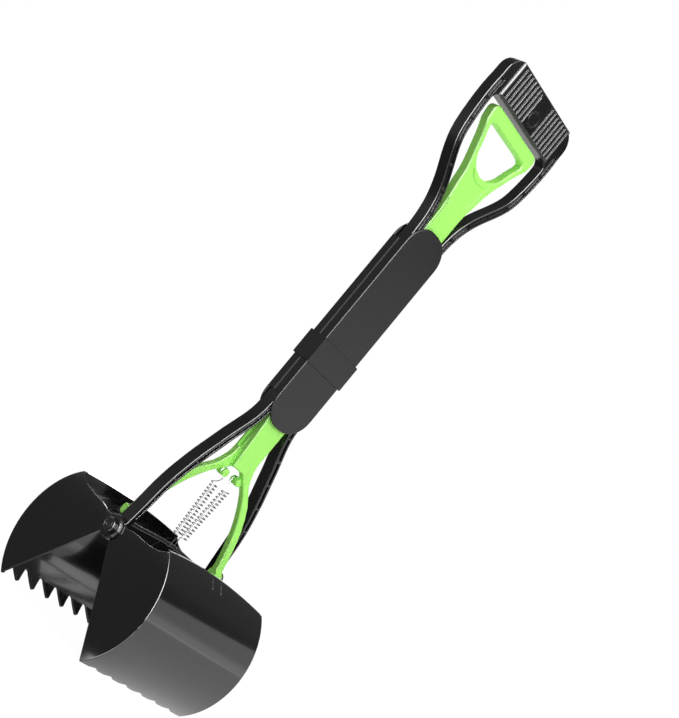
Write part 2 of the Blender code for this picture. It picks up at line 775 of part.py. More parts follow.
def lip_cutter(name, line, angle):
    """A cutter through the shell below a line, drawn flat on the shell near its lip."""
    lip = (angle - LIP_ANGLE) * SHELL_RADIUS
    beyond = lip + 2 * OVERRUN
    outline = line + [(line[-1][0], beyond), (line[0][0], beyond)]
    radial = Vector((0, math.cos(angle), math.sin(angle)))
    toward_lip = Vector((0, math.sin(angle), -math.cos(angle)))
    centre = Vector((0, SHELL_REACH, HINGE - SHELL_DROP)) + radial * (SHELL_RADIUS - JAW_WALL / 2)
    turn = Matrix((Vector((1, 0, 0)), toward_lip, radial)).transposed().to_4x4()
    return plate(name, [outline], 4 * JAW_WALL, Matrix.Translation(centre) @ turn)


def tooth_line(lip):
    """Rake teeth: round tips and round roots, with straight flanks that touch both."""
    tip = lip + GAP - TOOTH_TIP_RADIUS
    root = lip - TOOTH_LENGTH + TOOTH_ROOT_RADIUS
    pitch = LIP_PITCH
    apart = math.hypot(pitch / 2, tip - root)
    flank = math.atan2(tip - root, pitch / 2) + math.asin((TOOTH_TIP_RADIUS + TOOTH_ROOT_RADIUS) / apart)
    turn = math.pi / 2 - flank
    line = []
    for i in range(TEETH + 1):
        x = (i - TEETH / 2) * pitch
        line += arc((x, root), TOOTH_ROOT_RADIUS, math.pi + turn, 2 * math.pi - turn, SMALL_STEPS)
        if i < TEETH:
            line += arc((x + pitch / 2, tip), TOOTH_TIP_RADIUS, math.pi - turn, turn, SMALL_STEPS)
    left = -(OUTER_PLATE - JAW_WALL - LIP_WEB)
    right = INNER_PLATE - JAW_WALL - LIP_WEB
    climb = math.tan(flank)
    start = (left, line[0][1] + (line[0][0] - left) * climb)
    end = (right, line[-1][1] + (right - line[-1][0]) * climb)
    return [start, *line, end]


def lobe_line(lip):
    """A shallow scalloped edge: round lobes that meet in points."""
    half = LIP_PITCH / 2
    radius = (half**2 + LOBE_DEPTH**2) / (2 * LOBE_DEPTH)
    reach = math.asin(half / radius)
    line = []
    for i in range(LOBES):
        x = (i - (LOBES - 1) / 2) * LIP_PITCH
        lobe = arc((x, lip + GAP - radius), radius, math.pi / 2 + reach, math.pi / 2 - reach, SMALL_STEPS)
        line += lobe[i > 0 :]
    left = -(OUTER_PLATE - JAW_WALL - LIP_WEB)
    right = INNER_PLATE - JAW_WALL - LIP_WEB
    return [point for point in line if left < point[0] < right]


def peg_path():
    """Where the peg's centre runs, seen from the jaw, as (y, z) from the hinge axis."""
    path = []
    for i in range(SLOT_STEPS + 1):
        angle = JAW_OPENING * i / SLOT_STEPS
        height = PEG_HEIGHT - STROKE * i / SLOT_STEPS
        y = PEG_REACH * math.cos(angle) - height * math.sin(angle)
        z = PEG_REACH * math.sin(angle) + height * math.cos(angle)
        path.append((y, z + HINGE))
    return path


def capsule(path, radius):
    """An outline at one distance all round a path."""
    start = Vector(path[0]) - Vector(path[1])
    end = Vector(path[-1]) - Vector(path[-2])
    start_angle = math.atan2(start.y, start.x)
    end_angle = math.atan2(end.y, end.x)
    quarter = math.pi / 2
    outline = arc(path[0], radius, start_angle - quarter, start_angle + quarter, CORNER_STEPS)
    outline += beside(path, [-radius] * len(path))[1:-1]
    outline += arc(path[-1], radius, end_angle - quarter, end_angle + quarter, CORNER_STEPS)
    outline += beside(path, [radius] * len(path))[-2:0:-1]
    return outline


def jaw_shell(name, line, angle):
    """A jaw built on the +Y side: two end plates and the arched shell between them."""
    mouth = JAW_OPENING - math.pi / 2
    centre = (SHELL_REACH, HINGE - SHELL_DROP)
    above = SHELL_TOP + SHELL_TOP_SPARE
    block = arc((0, HINGE), EAR_RADIUS, mouth, EAR_END - 2 * math.pi, EAR_STEPS)
    block += arc(centre, SHELL_RADIUS, above, LIP_ANGLE, SHELL_STEPS)
    jaw = slab(name, [block], -OUTER_PLATE, INNER_PLATE, "X")

    far = 2 * SHELL_RADIUS
    hollow = arc(centre, SHELL_RADIUS - JAW_WALL, -above, above + OVERRUN / SHELL_RADIUS, SHELL_STEPS)
    hollow += [(hollow[-1][0], far + HINGE), (-far, far + HINGE), (-far, -far), (hollow[0][0], -far)]
    hollow = slab(name + " hollow", [hollow], -(OUTER_PLATE - JAW_WALL), INNER_PLATE - JAW_WALL, "X")

    ear_top = (EAR_RADIUS * math.cos(EAR_END), EAR_RADIUS * math.sin(EAR_END))
    top = [(SHELL_CORNER_Y * share, SHELL_CORNER_Z * up) for share, up in PLATE_TOP_SHARES]
    top = smooth([ear_top, *top, (SHELL_CORNER_Y, SHELL_CORNER_Z)])
    top += [(SHELL_CORNER_Y + far, SHELL_CORNER_Z), (SHELL_CORNER_Y + far, far), (ear_top[0], far)]
    top = [(y, z + HINGE) for y, z in top]
    trims = [
        slab(name + " plate top left", [top], -OUTER_PLATE - OVERRUN, GAP + JAW_WALL - OUTER_PLATE, "X"),
        slab(name + " plate top right", [top], INNER_PLATE - JAW_WALL - GAP, INNER_PLATE + OVERRUN, "X"),
    ]
    wide = OUTER_PLATE + OVERRUN
    arch = []
    for i in range(-ARC_STEPS // 2, ARC_STEPS // 2 + 1):
        share = 2 * i / ARC_STEPS
        arch.append((share * wide, HINGE + SHELL_CORNER_Z + SHELL_ARCH * (1 - share**2)))
    arch += [(wide, HINGE + far), (-wide, HINGE + far)]
    arch = slab(name + " arch", [arch], SHELL_CORNER_Y * ARCH_FROM_SHARE, SHELL_CORNER_Y + far)
    cut(jaw, hollow, *trims, arch, lip_cutter(name + " lip", line, angle))

    path = peg_path()
    shelf_corners = [
        (y, z + HINGE)
        for y in (SHELF_NEAR - WELD_REACH, SHELF_FAR + WELD_REACH)
        for z in (SHELF_LOW - WELD_REACH, SHELF_HIGH + WELD_REACH)
    ]
    rim = capsule(path, PEG_RADIUS + SLOT_CLEARANCE + LUG_RIM) + shelf_corners
    rim = [rim[i] for i in geometry.convex_hull_2d(rim)]
    lug = slab(name + " lug", [rim], -LUG_OUTER_X, -LUG_INNER_X, "X")
    shelf = box(
        name + " shelf",
        (JAW_WALL / 2 - OUTER_PLATE, SHELF_NEAR, HINGE + SHELF_LOW),
        (-(LUG_INNER_X + LUG_OUTER_X) / 2, SHELF_FAR, HINGE + SHELF_HIGH),
    )
    slot = slab(
        name + " slot",
        [capsule(path, PEG_RADIUS + SLOT_CLEARANCE)],
        -LUG_OUTER_X - OVERRUN,
        OVERRUN - LUG_INNER_X,
        "X",
    )
    boss = cylinder(
        name + " boss",
        EAR_RADIUS * EAR_BOSS_SHARE,
        -OUTER_PLATE - EAR_BOSS_HEIGHT,
        JAW_WALL / 2 - OUTER_PLATE,
        "X",
        (0, 0, HINGE),
    )
    join(jaw, shelf, lug, boss)
    cut(jaw, slot, pin_hole())
    return jaw


def build_jaws():
    angle = LIP_ANGLE + TOOTH_LENGTH / 2 / SHELL_RADIUS
    lip = (angle - LIP_ANGLE) * SHELL_RADIUS
    rear = jaw_shell("rear jaw", tooth_line(lip), angle)
    finish(rear, "rear_jaw", gloss, (0, 0, HINGE))
    front = half_turned(jaw_shell("front jaw", lobe_line(lip), angle), "front jaw turned")
    finish(front, "front_jaw", gloss, (0, 0, HINGE))


def build_hinge_pins():
    face = OUTER_PLATE + EAR_BOSS_HEIGHT + GAP
    top = face + PIN_HEAD_HEIGHT
    clip_outer = FOOT_OUTER - FOOT_WIDTH - EYE_THICKER - GAP
    clip_inner = clip_outer - CLIP_THICKNESS
    edge = PIN_HEAD_HEIGHT / 3
    profile = [
        (0, top - PIN_RECESS_DEPTH),
        (PIN_RECESS_RADIUS, top - PIN_RECESS_DEPTH),
        (PIN_RECESS_RADIUS, top),
        (PIN_HEAD_RADIUS - edge, top),
        (PIN_HEAD_RADIUS, top - edge),
        (PIN_HEAD_RADIUS, face),
        (PIN_RADIUS, face),
        (PIN_RADIUS, clip_inner - GAP),
        (0, clip_inner - GAP),
    ]
    centre = (0, 0, HINGE)
    pin = turned("pin", profile, "X", centre)
    clip = cylinder("clip", CLIP_RADIUS, clip_inner, clip_outer, "X", centre)
    twins = (half_turned(pin, "pin twin"), half_turned(clip, "clip twin"))
    for side, one_pin, one_clip in (("right", pin, clip), ("left", *twins)):
        finish(one_pin, f"hinge_pin_{side}", gloss, centre)
        cut(one_clip, pin_hole())
        finish(one_clip, f"hinge_clip_{side}", satin, centre)


def stem(name, low, high, width, depth, edge):
    half = width / 2
    outline = [(-half, low), (half, low), (half, high), (-half, high)]
    return slab(name, [outline], -depth / 2, depth / 2, edge=edge)


def build_trigger():
    rise = BAR_BOTTOM - SHOULDER
    half = STEM_WIDTH / 2
    out = LOOP_WIDTH / 2 - half
    body_low = SPLIT + (COVER_TOP - SPLIT) * TRIGGER_BODY_SHARE
    trigger = stem("trigger", body_low, SHOULDER, STEM_WIDTH, STEM_DEPTH, STEM_EDGE)
    inset = half - GAP
    outer = [(half + out * share, SHOULDER + rise * up) for share, up in LOOP_OUTER_SHARES]
    radius = FINGER_BAR_HEIGHT / 2
    end = arc((LOOP_WIDTH / 2 - radius, BAR_BOTTOM + radius), radius, 0, math.pi / 2, SMALL_STEPS)
    right = [(inset, SHOULDER - half), *smooth(outer), *end]
    inner = [(LOOP_WIDTH / 2 * share, SHOULDER + rise * up) for share, up in LOOP_INNER_SHARES]
    inner = smooth(inner)
    opening = inner + across(inner)[::-1][:-1]
    loop = slab(
        "trigger loop",
        [right + across(right)[::-1], opening],
        -LOOP_DEPTH / 2,
        LOOP_DEPTH / 2,
        edge=LOOP_EDGE,
    )
    pocket = [(LOOP_WIDTH / 2 * share, SHOULDER + rise * up) for share, up in POCKET_SHARES]
    pocket = smooth(pocket)
    pocket = pocket + across(pocket)[::-1][1:-1]
    pocket = slab("trigger pocket", [pocket], -LOOP_DEPTH, POCKET_DEPTH - LOOP_DEPTH / 2)
    tongue = stem("trigger tongue", SPLIT - LAP / 2, body_low + half, TONGUE_WIDTH, TONGUE_DEPTH, 0)
    lap_top = SPLIT + LAP / 2 + GAP
    lap = box("trigger lap", (-half, -half, SPLIT - LAP), (half, GAP / 2, lap_top))
    join(trigger, loop, tongue)
    cut(trigger, pocket, lap, link_hole())
    finish(trigger, "trigger", green, (0, 0, SPLIT))


def link_hole():
    reach = TONGUE_DEPTH
    return cylinder("link hole", LINK_PIN_RADIUS + PIN_CLEARANCE, -reach, reach, "Y", (0, 0, SPLIT))


def fork_half():
    """The +X leg with the front half of the stem that it grows out of, and its peg and knob."""
    side = STEM_WIDTH / 2 - GAP
    body = FORK_BODY_TOP - STEM_EDGE
    rise = CROTCH - HINGE
    inner = [(LEG_FOOT_INNER * share, HINGE + rise * up) for share, up in LEG_INNER_SHARES]
    outer = [(LEG_FOOT_OUTER * share, HINGE + rise * up) for share, up in LEG_OUTER_SHARES]
    taper_top = COVER_BOTTOM + GAP
    outline = [(-side + GAP, body), (-side + GAP, taper_top), (-side * FORK_TAPER_SHARE, CROTCH)]
    outline += smooth(inner) + smooth(outer) + [(side, outer[-1][1] + side / 2), (side, body)]
    back = FORK_HALF_OVERLAP
    half = slab("fork half", [outline], (GAP - STEM_DEPTH) / 2, back, edge=FORK_HALF_OVERLAP)
    middle = (STEM_DEPTH / 2 - back) / 2
    slope = (PEG_REACH - middle) / (LEAN_FROM - HINGE - PEG_HEIGHT)
    leaning = bmesh.new()
    leaning.from_mesh(half.data)
    everything = leaning.verts[:] + leaning.edges[:] + leaning.faces[:]
    bmesh.ops.bisect_plane(leaning, geom=everything, plane_co=(0, 0, LEAN_FROM), plane_no=(0, 0, 1))
    for vertex in leaning.verts:
        vertex.co.y -= max(0, LEAN_FROM - vertex.co.z) * slope
    leaning.to_mesh(half.data)
    leaning.free()

    eye_low = LEG_FOOT_INNER - GAP
    eye_high = LEG_FOOT_OUTER + GAP
    head_near = LUG_OUTER_X + GAP
    head_far = head_near + PEG_HEAD_THICKNESS
    peg_end = (head_near + head_far) / 2
    profile = [
        (0, peg_end),
        (PEG_RADIUS, peg_end),
        (PEG_RADIUS, eye_high),
        (LEG_EYE_RADIUS, eye_high),
        (LEG_EYE_RADIUS, eye_low),
        (0, eye_low),
    ]
    peg = turned("peg and eye", profile, "X", (0, -PEG_REACH, HINGE + PEG_HEIGHT))
    offset = (PEG_HEAD_HEIGHT - PEG_HEAD_DEPTH) / 2
    middle_z = HINGE + PEG_HEIGHT
    head_line = [(-PEG_REACH, middle_z - offset), (-PEG_REACH, middle_z + offset)]
    head = capsule(head_line, PEG_HEAD_DEPTH / 2)
    head = slab("peg head", [head], head_near, head_far, "X", PEG_HEAD_EDGE)
    neck_end = back + KNOB_NECK_LENGTH
    profile = [
        (0, neck_end + KNOB_HEAD_THICKNESS),
        (KNOB_RADIUS, neck_end + KNOB_HEAD_THICKNESS),
        (KNOB_RADIUS, neck_end),
        (KNOB_NECK_RADIUS, neck_end),
        (KNOB_NECK_RADIUS, back),
        (KNOB_RADIUS, back),
        (KNOB_RADIUS, -KNOB_BACK),
        (0, -KNOB_BACK),
    ]
    knob = turned("spring knob", profile, "Y", (KNOB_X, 0, KNOB_HEIGHT))
    return [half, peg, head, knob]


def build_fork():
    fork = stem("fork", COVER_BOTTOM, FORK_BODY_TOP, STEM_WIDTH, STEM_DEPTH, FORK_HALF_OVERLAP)
    pieces = fork_half()
    join(fork, *pieces)
    join(fork, *[half_turned(piece, piece.name + " twin") for piece in pieces])
    half = STEM_WIDTH / 2
    tongue = stem("fork tongue", FORK_BODY_TOP - half / 2, SPLIT + LAP / 2, TONGUE_WIDTH, TONGUE_DEPTH, 0)
    lap = box("fork lap", (-half, -GAP / 2, SPLIT - LAP / 2 - GAP), (half, half, SPLIT + LAP))
    wide = SIDE_CHANNEL_WIDTH / 2
    low = (half - SIDE_CHANNEL_DEPTH, -wide, CROTCH + SIDE_CHANNEL_ABOVE_CROTCH)
    channel = box("side channel", low, (half + OVERRUN, wide, FORK_BODY_TOP - FORK_ABOVE_COVERS / 2))
    join(fork, tongue)
    cut(fork, merged("fork cuts", [lap, channel, half_turned(channel, "channel twin")]), link_hole())
    finish(fork, "pull_fork", green, (0, 0, SPLIT))
    link = cylinder("link", LINK_PIN_RADIUS, -TONGUE_DEPTH / 2, TONGUE_DEPTH / 2, "Y", (0, 0, SPLIT))
    finish(link, "link_pin", steel, (0, 0, SPLIT))


def bar_height(x):
    """The arched bar's centre, level where it enters the feet."""
    return HINGE + BAR_HEIGHT + BAR_ARCH * (1 + math.cos(math.pi * x / BAR_END)) / 2


def build_spring_bar():
    steps = ARC_STEPS
    xs = [BAR_END * (2 * i / steps - 1) for i in range(steps + 1)]
    bar = tube("bar", [(x, 0, bar_height(x)) for x in xs], BAR_RADIUS, 2)
    finish(bar, "spring_bar", black)


def spring_line():
    """The right spring's wire: the hook under the bar, the coil, and the hook over the knob."""
    bar = bar_height(SPRING_LOW_X)
    hook = BAR_RADIUS + WIRE_RADIUS + HOOK_CLEARANCE
    line = [(SPRING_LOW_X, -hook, bar + 2 * hook)]
    for y, z in arc((0, bar), hook, math.pi, 2 * math.pi, SMALL_STEPS):
        line.append((SPRING_LOW_X, y, z))
    line.append((SPRING_LOW_X, hook, COIL_LOW - COIL_RADIUS))
    turns = round(COIL_TURNS * COIL_POINTS)
    for i in range(turns + 1):
        angle = math.pi / 2 - 2 * math.pi * i / COIL_POINTS
        x = SPRING_LOW_X + (SPRING_HIGH_X - SPRING_LOW_X) * i / turns
        height = COIL_LOW + (COIL_HIGH - COIL_LOW) * i / turns
        line.append((x + COIL_RADIUS * math.cos(angle), COIL_RADIUS * math.sin(angle), height))
    knob_y = FORK_HALF_OVERLAP + KNOB_NECK_LENGTH / 2
    hook = KNOB_NECK_RADIUS + WIRE_RADIUS + HOOK_CLEARANCE
    line.append((KNOB_X - hook, knob_y, COIL_HIGH + COIL_RADIUS))
    for x, z in arc((KNOB_X, KNOB_HEIGHT), hook, math.pi, HOOK_END, CORNER_STEPS):
        line.append((x, knob_y, z))
    return line


def build_springs():
    line = spring_line()
    finish(tube("spring", line, WIRE_RADIUS, 1), "spring_right", steel)
    opposite = [(-x, -y, z) for x, y, z in line]
    finish(tube("spring", opposite, WIRE_RADIUS, 1), "spring_left", steel)


clear_scene()
parts = new_collection("pooper scooper")
cutters = new_collection("cutters")
black = new_material("gloss black arms", BLACK, 0.3)
gloss = new_material("gloss black jaws", BLACK, 0.15)
satin = new_material("satin black covers", SATIN, 0.45)
green = new_material("lime green", GREEN, 0.35)
steel = new_material("bright steel", STEEL, 0.25, 1.0)

build_handle()
build_lower_frame()
build_covers("upper", SPLIT + GAP / 2, COVER_TOP, True, UPPER_SCREW_HEIGHT)
build_covers("lower", COVER_BOTTOM, SPLIT - GAP / 2, False, LOWER_SCREW_HEIGHT)
build_screws()
build_collar()
build_jaws()
build_hinge_pins()
build_trigger()
build_fork()
build_spring_bar()
build_springs()
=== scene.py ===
"""The looks of a long-handled pooper scooper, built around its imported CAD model.

The tool stands on its open jaws at z = 0, +Z runs up the shaft, X is the jaws' hinge axis and the
scalloped front jaw is on the -Y side. Metres throughout.
"""

import json
import math

import bmesh
import bpy
from mathutils import Matrix, Quaternion, Vector

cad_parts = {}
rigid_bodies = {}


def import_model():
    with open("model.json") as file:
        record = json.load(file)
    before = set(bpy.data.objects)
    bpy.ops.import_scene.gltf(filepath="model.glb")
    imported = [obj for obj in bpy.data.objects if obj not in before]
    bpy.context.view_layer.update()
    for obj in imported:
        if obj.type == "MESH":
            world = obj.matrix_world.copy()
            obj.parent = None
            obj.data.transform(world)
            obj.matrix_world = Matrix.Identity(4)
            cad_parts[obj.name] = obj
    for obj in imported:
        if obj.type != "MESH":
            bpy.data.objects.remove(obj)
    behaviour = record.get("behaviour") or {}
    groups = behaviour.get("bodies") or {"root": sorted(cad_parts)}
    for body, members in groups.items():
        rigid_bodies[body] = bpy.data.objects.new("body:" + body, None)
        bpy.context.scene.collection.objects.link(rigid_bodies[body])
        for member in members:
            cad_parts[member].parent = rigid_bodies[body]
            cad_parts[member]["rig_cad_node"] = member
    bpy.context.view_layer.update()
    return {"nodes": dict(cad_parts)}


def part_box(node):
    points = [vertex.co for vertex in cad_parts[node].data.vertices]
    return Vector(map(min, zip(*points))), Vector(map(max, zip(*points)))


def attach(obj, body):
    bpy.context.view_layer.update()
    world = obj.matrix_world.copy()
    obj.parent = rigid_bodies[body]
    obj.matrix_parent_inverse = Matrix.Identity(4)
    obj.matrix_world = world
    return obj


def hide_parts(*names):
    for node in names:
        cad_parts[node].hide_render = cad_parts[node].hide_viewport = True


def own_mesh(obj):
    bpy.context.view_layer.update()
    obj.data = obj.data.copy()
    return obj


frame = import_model()
nodes = frame["nodes"]
bpy.ops.object.select_all(action="DESELECT")
bpy.context.scene.view_settings.view_transform = "Standard"


# The camera
# It stands low in front and to the left, and is rolled, so that the upright tool lies across the
# picture with its jaws at the lower left, as in the photograph.
HINGE_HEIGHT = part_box("hinge_pin_left")[0].z / 2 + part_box("hinge_pin_left")[1].z / 2
CAMERA_FROM_HINGE = Vector((-1.0577, -1.0126, 0.1280))
CAMERA_RIGHT = Vector((0.4865, -0.6014, 0.6340))
CAMERA_BACK = Vector((-0.7239, -0.6834, -0.0927))
LENS_MM = 73.91

lens = bpy.data.cameras.new("camera")
lens.lens = LENS_MM
camera = bpy.data.objects.new("camera", lens)
bpy.context.scene.collection.objects.link(camera)
camera_back = CAMERA_BACK.normalized()
camera_up = camera_back.cross(CAMERA_RIGHT).normalized()
camera_right = camera_up.cross(camera_back)
camera_turn = Matrix((camera_right, camera_up, camera_back)).transposed().to_4x4()
camera_place = Vector((0, 0, HINGE_HEIGHT)) + CAMERA_FROM_HINGE
camera.matrix_world = Matrix.Translation(camera_place) @ camera_turn
bpy.context.scene.camera = camera


# The floor and the studio
# White paper under the tool and a dim room round it. The camera sees white all round. A glossy
# face sees the room, and in it the paper glows with painted light: a painted pool of light on the
# right and on the far left, and a painted bright strip before the jaws.
ROOM_LIGHT = 0.30
WHITE = (1, 1, 1, 1)
LIT_WAY = Vector((0.75, -0.66, 0))
FRONT_WAY = Vector((-0.66, -0.75, 0))

# How bright the walls are in a mirror, and over which directions each of them fades in
WALL = 0.15
RIGHT_WALL = 0.07
RIGHT_SPAN = (0.78, 0.92)
LOW_WALL = 0.64
LOW_SPAN = (0.18, 0.05)
LEFT_WALL = 0.50
LEFT_SPAN = (-0.80, -0.92)
LEFT_LEAST = 0.3
LEFT_LOW_SPAN = (0.24, 0.02)
BEHIND_SPAN = (0.86, 0.96)

# The paper as the camera sees it, and as a mirror sees it, where it glows with painted light
FLOOR_SIZE = 24.0
PAPER = (0.82, 0.82, 0.82, 1)
PAPER_GLOW = 1.07
PAPER_GLOW_SHARE = 0.9
PAPER_FAR_SPAN = (0.25, 0.6)
# How brightly the paper glows in reflections, all painted light: dim, a lit pool to the right and
# on the far left, and a bright strip before the jaws
PAPER_DIM = 0.14
PAPER_LIT = 1.1
PAPER_LIT_SPAN = (-0.14, 0.10)
LEFT_PAPER_SPAN = (-1.3, -2.6)
PAPER_STRIP = 7.0
STRIP_RIGHT_SPAN = (0.0, -0.02)
STRIP_LEFT_SPAN = (-0.09, -0.06)
STRIP_NEAR_SPAN = (0.105, 0.125)
STRIP_FAR_SPAN = (0.9, 0.8)


class Value:
    """An output of a node. Arithmetic on it adds Math nodes, so a pattern reads as a formula."""

    def __init__(self, tree, socket):
        self.tree = tree
        self.socket = socket

    def maths(self, operation, *others):
        return self.tree.node("ShaderNodeMath", {"operation": operation}, [self, *others])

    def dot(self, other):
        return self.tree.node(
            "ShaderNodeVectorMath", {"operation": "DOT_PRODUCT"}, [self, other], "Value")

    def __add__(self, other):
        return self.maths("ADD", other)

    def __mul__(self, other):
        return self.maths("MULTIPLY", other)

    def __sub__(self, other):
        return self.maths("SUBTRACT", other)

    def __rsub__(self, other):
        return self.tree.node("ShaderNodeMath", {"operation": "SUBTRACT"}, [other, self])

    __radd__ = __add__
    __rmul__ = __mul__


class Tree:
    """The nodes of one material or of the world."""

    def __init__(self, owner):
        owner.use_nodes = True
        self.nodes = owner.node_tree.nodes
        self.links = owner.node_tree.links
        self.nodes.clear()

    def node(self, kind, settings, sockets, output=0):
        """Adds a node, gives it its settings and then its sockets, by index or by name."""
        made = self.nodes.new(kind)
        for name, setting in settings.items():
            setattr(made, name, setting)
        pairs = sockets.items() if isinstance(sockets, dict) else enumerate(sockets)
        for key, value in pairs:
            if isinstance(value, Value):
                self.links.new(value.socket, made.inputs[key])
            else:
                made.inputs[key].default_value = value
        return Value(self, made.outputs[output]) if made.outputs else None


def step(value, start, end):
    """Goes smoothly from 0 to 1 while the value goes from start to end."""
    return value.tree.node("ShaderNodeMapRange", {"interpolation_type": "SMOOTHSTEP"},
                           {"Value": value, "From Min": start, "From Max": end})


def light_path(tree):
    """Whether a ray comes straight from the camera, and whether from a mirror or through glass."""
    seen = tree.node("ShaderNodeLightPath", {}, {}, "Is Camera Ray")
    glossy = tree.node("ShaderNodeLightPath", {}, {}, "Is Glossy Ray")
    through = tree.node("ShaderNodeLightPath", {}, {}, "Is Transmission Ray")
    return seen, glossy.maths("MAXIMUM", through)


room = bpy.data.worlds.new("studio room")
bpy.context.scene.world = room
tree = Tree(room)
seen, mirrored = light_path(tree)
toward = tree.node("ShaderNodeTexCoord", {}, {}, "Generated")
behind = toward.dot(-CAMERA_BACK)
lit_way = toward.dot(LIT_WAY)
rise = tree.node("ShaderNodeSeparateXYZ", {}, [toward], "Z")
right = step(lit_way, *RIGHT_SPAN)
low = right * step(rise, *LOW_SPAN)
left = step(lit_way, *LEFT_SPAN) * (LEFT_LEAST + step(rise, *LEFT_LOW_SPAN) * (1 - LEFT_LEAST))
wall = WALL + right * (RIGHT_WALL - WALL) + left * (LEFT_WALL - WALL)
wall = wall + low * (LOW_WALL - RIGHT_WALL)
wall = wall + step(behind, *BEHIND_SPAN) * (1 - wall)
strength = seen + (1 - seen) * (mirrored * wall + (1 - mirrored) * ROOM_LIGHT)
glow = tree.node("ShaderNodeBackground", {}, {"Color": WHITE, "Strength": strength})
tree.node("ShaderNodeOutputWorld", {}, {"Surface": glow})

bpy.ops.mesh.primitive_plane_add(size=FLOOR_SIZE, location=(0, 0, 0))
floor = bpy.context.object
floor.name = "paper_floor"
paper = bpy.data.materials.new("white paper")
tree = Tree(paper)
seen, mirrored = light_path(tree)
place = tree.node("ShaderNodeTexCoord", {}, {}, "Object")
distance = tree.node("ShaderNodeVectorMath", {"operation": "LENGTH"}, [place], "Value")
far = step(distance, *PAPER_FAR_SPAN)
paper_white = PAPER_GLOW - far * (PAPER_GLOW - 1)
lit_way = place.dot(LIT_WAY)
front_way = place.dot(FRONT_WAY)
# In reflections the paper is only emission: painted dim light, a painted pool of light to the
# right and on the far left, and a painted bright strip glowing before the jaws
lit = PAPER_DIM + step(lit_way, *PAPER_LIT_SPAN) * (PAPER_LIT - PAPER_DIM)
lit = lit + step(lit_way, *LEFT_PAPER_SPAN) * (LEFT_WALL - PAPER_DIM)
strip = step(lit_way, *STRIP_RIGHT_SPAN) * step(lit_way, *STRIP_LEFT_SPAN)
strip = strip * step(front_way, *STRIP_NEAR_SPAN) * step(front_way, *STRIP_FAR_SPAN)
lit = lit + strip * (PAPER_STRIP - lit)
matt = tree.node("ShaderNodeBsdfDiffuse", {}, {"Color": PAPER})
strength = seen * paper_white + (1 - seen) * lit
white = tree.node("ShaderNodeEmission", {}, {"Color": WHITE, "Strength": strength})
share = seen * (PAPER_GLOW_SHARE + far * (1 - PAPER_GLOW_SHARE)) + mirrored * (1 - seen)
mixed = tree.node("ShaderNodeMixShader", {}, [share, matt, white])
tree.node("ShaderNodeOutputMaterial", {}, {"Surface": mixed})
floor.data.materials.append(paper)


# The lamps
# A low white card at the right front, which the shell of the front jaw mirrors, a key light, a
# soft top light, one for the back, and a bright panel that only the gloss of rounded edges shows.

# Name, place, target, size, roll in degrees, radiance, and whether it lights matt faces too
LAMPS = (
    ("white card", (1.30, -1.25, 0.36), (0, 0, 0.18), (1.9, 0.70), 18, 0.85, True),
    ("key light", (0.5, -2.1, 1.7), (0, 0, 0.30), (1.6, 1.6), 0, 4.2, True),
    ("edge light", (-1.05, -1.0, 0.80), (0, 0, 0.20), (1.1, 1.8), 0, 25.0, False),
    ("top light", (-0.5, -0.6, 2.2), (0, 0, 0.30), (1.2, 1.2), 0, 3.0, True),
    ("back light", (0.9, 1.9, 1.1), (0, 0, 0.30), (1.5, 1.5), 0, 3.0, True),
)

for name, place, target, size, roll, radiance, lights_all in LAMPS:
    data = bpy.data.lights.new(name, "AREA")
    data.shape = "RECTANGLE"
    data.size, data.size_y = size
    data.energy = radiance * math.pi * size[0] * size[1]
    lamp = bpy.data.objects.new(name, data)
    bpy.context.scene.collection.objects.link(lamp)
    lamp.location = place
    lamp.rotation_mode = "QUATERNION"
    facing = (Vector(target) - Vector(place)).to_track_quat("-Z", "Y")
    lamp.rotation_quaternion = facing @ Quaternion((0, 0, 1), math.radians(roll))
    lamp.visible_camera = False
    lamp.visible_diffuse = lights_all


# The D handle
# One moulding of glass-filled nylon: the ridged grip, the two ribbed arms and the rails that run
# down inside the shaft. The steel mould leaves it near black and satin, its edges just rounded.
WELD = 0.000002
FLAT = math.radians(0.6)
SHARP = math.radians(30)
ROUND_STEPS = 3
LEAST_EDGE = 1.5
HANDLE_EDGE = 0.0003
FIN_ROUND = 0.0007
FIN_LENGTH = 0.01
GRIP_FACE_Y = 0.0095

# The patterns of a moulded skin
DRIFT_SCALE = 26.0
PATCH_SPAN = (0.35, 0.6)
WAVE_SCALE = 24.0
SCUFF_TURN = (0.4, 0.7, 0.3)
SCUFF_STRETCH = (1.0, 14.0, 14.0)
SCUFF_SCALE = 60.0
SCUFF_SPAN = (0.66, 0.74)
SCUFF_DEPTH = 0.01
SCUFF_ROUGHNESS = 0.06
BUMP_UNIT = 0.001
# The paler edges are partly real wear and partly a painted highlight where rounded edges catch the
# gloss
EDGE_WEAR_AND_HIGHLIGHT_REACH = 0.0006
EDGE_WEAR_AND_HIGHLIGHT_SPAN = (0.995, 0.90)
EDGE_WEAR_AND_HIGHLIGHT_LEAST = 0.35
GRIME_EDGE = 0.9
GRIME_ROUGHNESS = 0.5
COAT_ROUGHNESS = 0.05

# Where a Mix node keeps its two colours, and the colour that it gives
MIX_COLOURS = (6, 7)
MIX_RESULT = 2


def duplicate(node, name):
    """A welded copy of a CAD node's mesh, left in edit mode with nothing selected."""
    bpy.ops.object.select_all(action="DESELECT")
    nodes[node].select_set(True)
    bpy.context.view_layer.objects.active = nodes[node]
    bpy.ops.object.duplicate()
    piece = bpy.context.object
    piece.name = name
    del piece["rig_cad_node"]
    bpy.ops.mesh.customdata_custom_splitnormals_clear()
    bpy.ops.object.mode_set(mode="EDIT")
    bpy.ops.mesh.select_all(action="SELECT")
    bpy.ops.mesh.remove_doubles(threshold=WELD)
    bpy.ops.mesh.dissolve_limited(angle_limit=FLAT)
    bpy.ops.mesh.vert_connect_concave()
    bpy.ops.mesh.select_all(action="DESELECT")
    return piece


